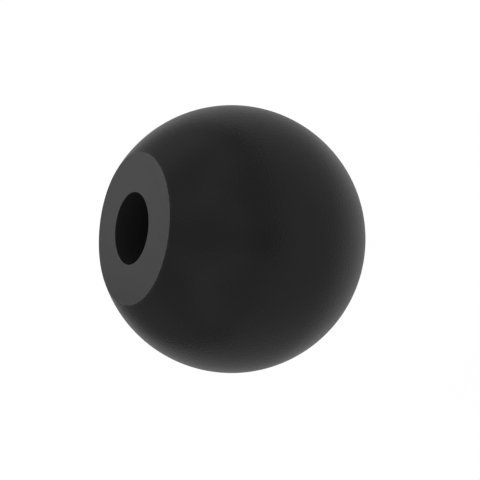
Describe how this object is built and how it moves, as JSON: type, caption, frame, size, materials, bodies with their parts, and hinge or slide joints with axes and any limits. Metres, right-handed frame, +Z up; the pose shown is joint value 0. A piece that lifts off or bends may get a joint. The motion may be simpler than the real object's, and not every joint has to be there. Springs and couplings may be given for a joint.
{
  "type": "case opening friction ball",
  "caption": "Solid soft rubber ball with one flat ring face and a blind round bore, pressed by hand on a screwed watch case back to turn it by friction.",
  "frame": {"origin": "the middle of the small patch that the ball lies on, at the bottom of its round back, straight under its centre", "axes": "+Z up along the bore's axis: the flat ring face and the mouth of the bore look up; X and Y are alike, because the ball is a solid of revolution"},
  "size_m": [0.06, 0.06, 0.0554],
  "materials": {
    "black_rubber": "satin"
  },
  "bodies": {
    "root": {"rubber_ball": "black_rubber"}
  },
  "joints": []
}
